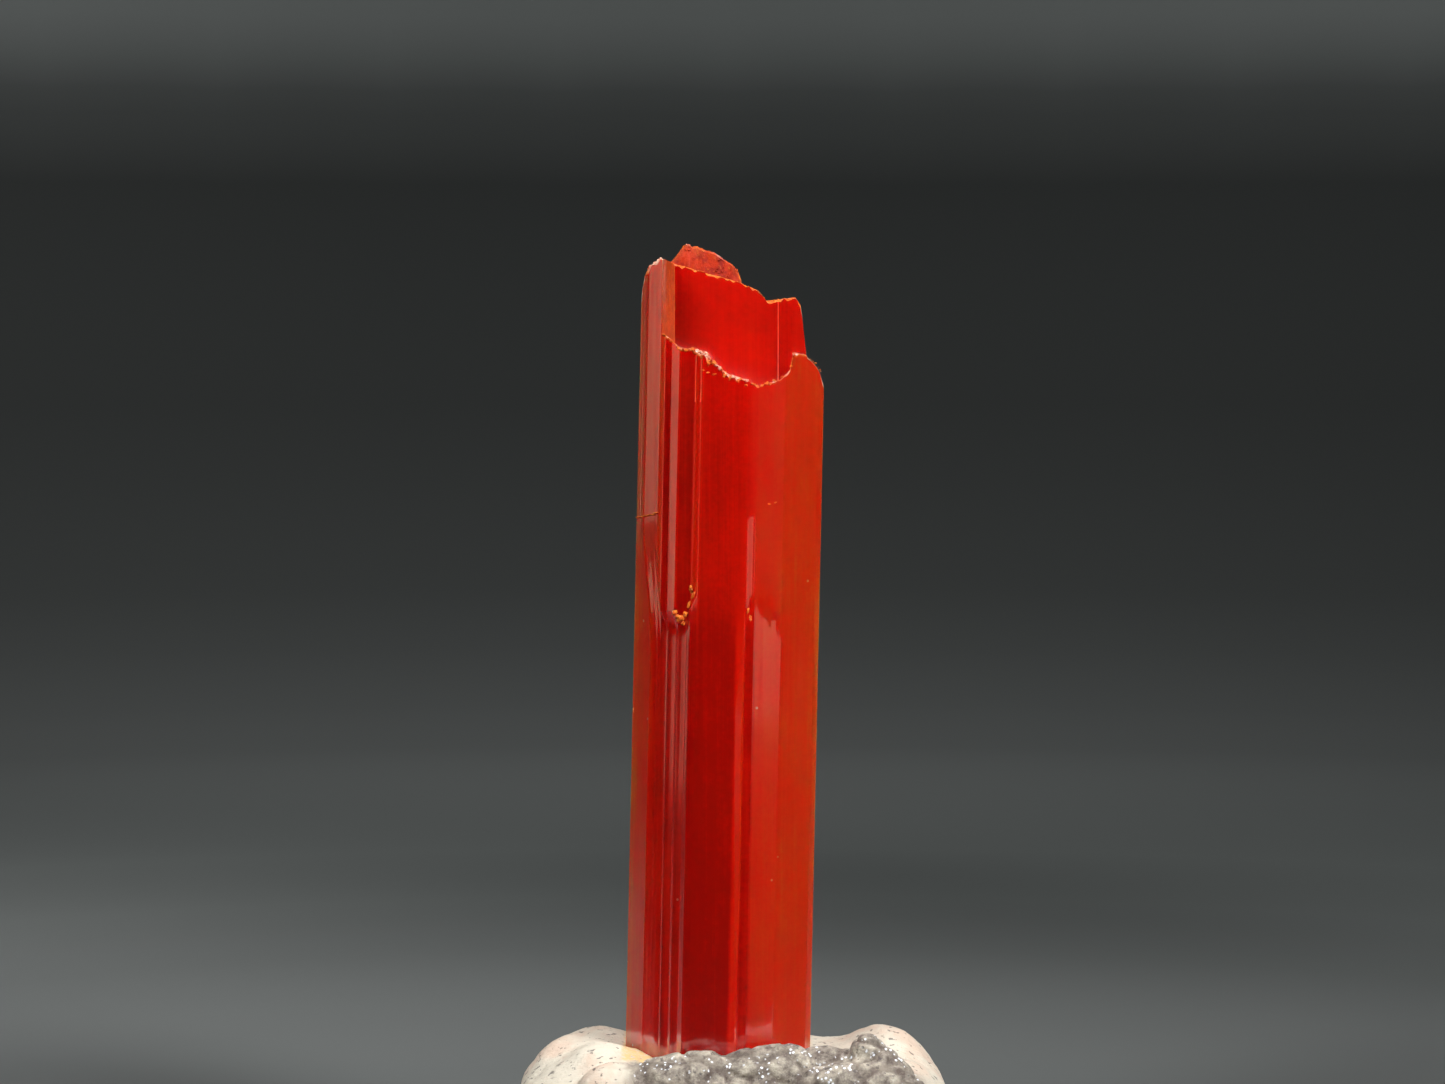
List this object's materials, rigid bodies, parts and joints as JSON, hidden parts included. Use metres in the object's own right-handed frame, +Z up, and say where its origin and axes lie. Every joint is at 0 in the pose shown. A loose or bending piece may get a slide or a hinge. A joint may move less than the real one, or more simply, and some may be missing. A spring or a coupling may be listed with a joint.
{
  "type": "crocoite crystal",
  "caption": "Upright glassy red-orange crocoite prism with a stepped broken top, its foot pressed into a small lump of mounting putty.",
  "frame": {"origin": "bottom centre of the bounding box, on the plane that the putty rests on", "axes": "+Z up along the crystal, +X to the right of its broken front face, which looks along -Y"},
  "size_m": [0.0098, 0.009, 0.0218],
  "materials": {
    "crocoite": "glassy translucent red-orange mineral, striated lengthwise, rough orange where it is broken",
    "putty": "matt kneaded putty, pale grey to cream, with fine glinting grains"
  },
  "bodies": {
    "root": {"crocoite_crystal": "crocoite", "putty_lump": "putty"}
  },
  "joints": []
}
